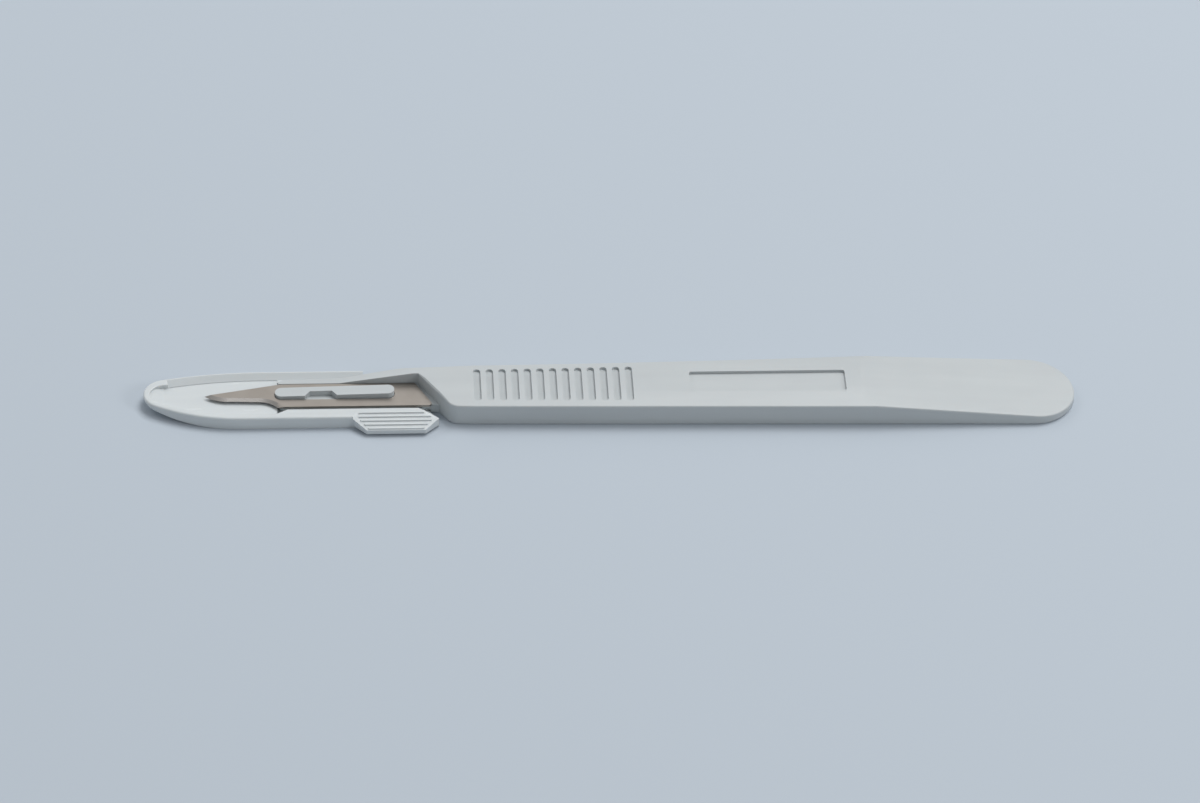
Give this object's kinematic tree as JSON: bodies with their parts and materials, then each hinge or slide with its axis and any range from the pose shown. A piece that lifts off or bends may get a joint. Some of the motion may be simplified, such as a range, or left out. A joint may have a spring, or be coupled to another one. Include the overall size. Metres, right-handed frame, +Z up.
{
  "type": "disposable scalpel",
  "caption": "Flat tapered scalpel handle with cross grooves, a fixed narrow curved blade, and a tray-like edge guard with a ribbed thumb tab that slides off forwards.",
  "frame": {"origin": "on the surface it lies on, under the middle of the whole scalpel with its guard on", "axes": "+X from the blade's point towards the butt, +Y from the cutting edge towards the spine, +Z up, out of the flat side that shows"},
  "size_m": [0.1534, 0.015, 0.0043],
  "materials": {
    "handle_plastic": "fine moulded satin, pale grey-white",
    "blade_steel": "ground and lightly polished stainless",
    "guard_plastic": "moulded satin, pale grey-white"
  },
  "bodies": {
    "handle": {"handle": "handle_plastic", "blade": "blade_steel"},
    "guard": {"blade_guard": "guard_plastic"}
  },
  "joints": [
    {"name": "guard_slide", "type": "slide", "parent": "handle", "child": "guard", "axis": [-1, 0, 0], "range_m": [0, 0.05]}
  ]
}
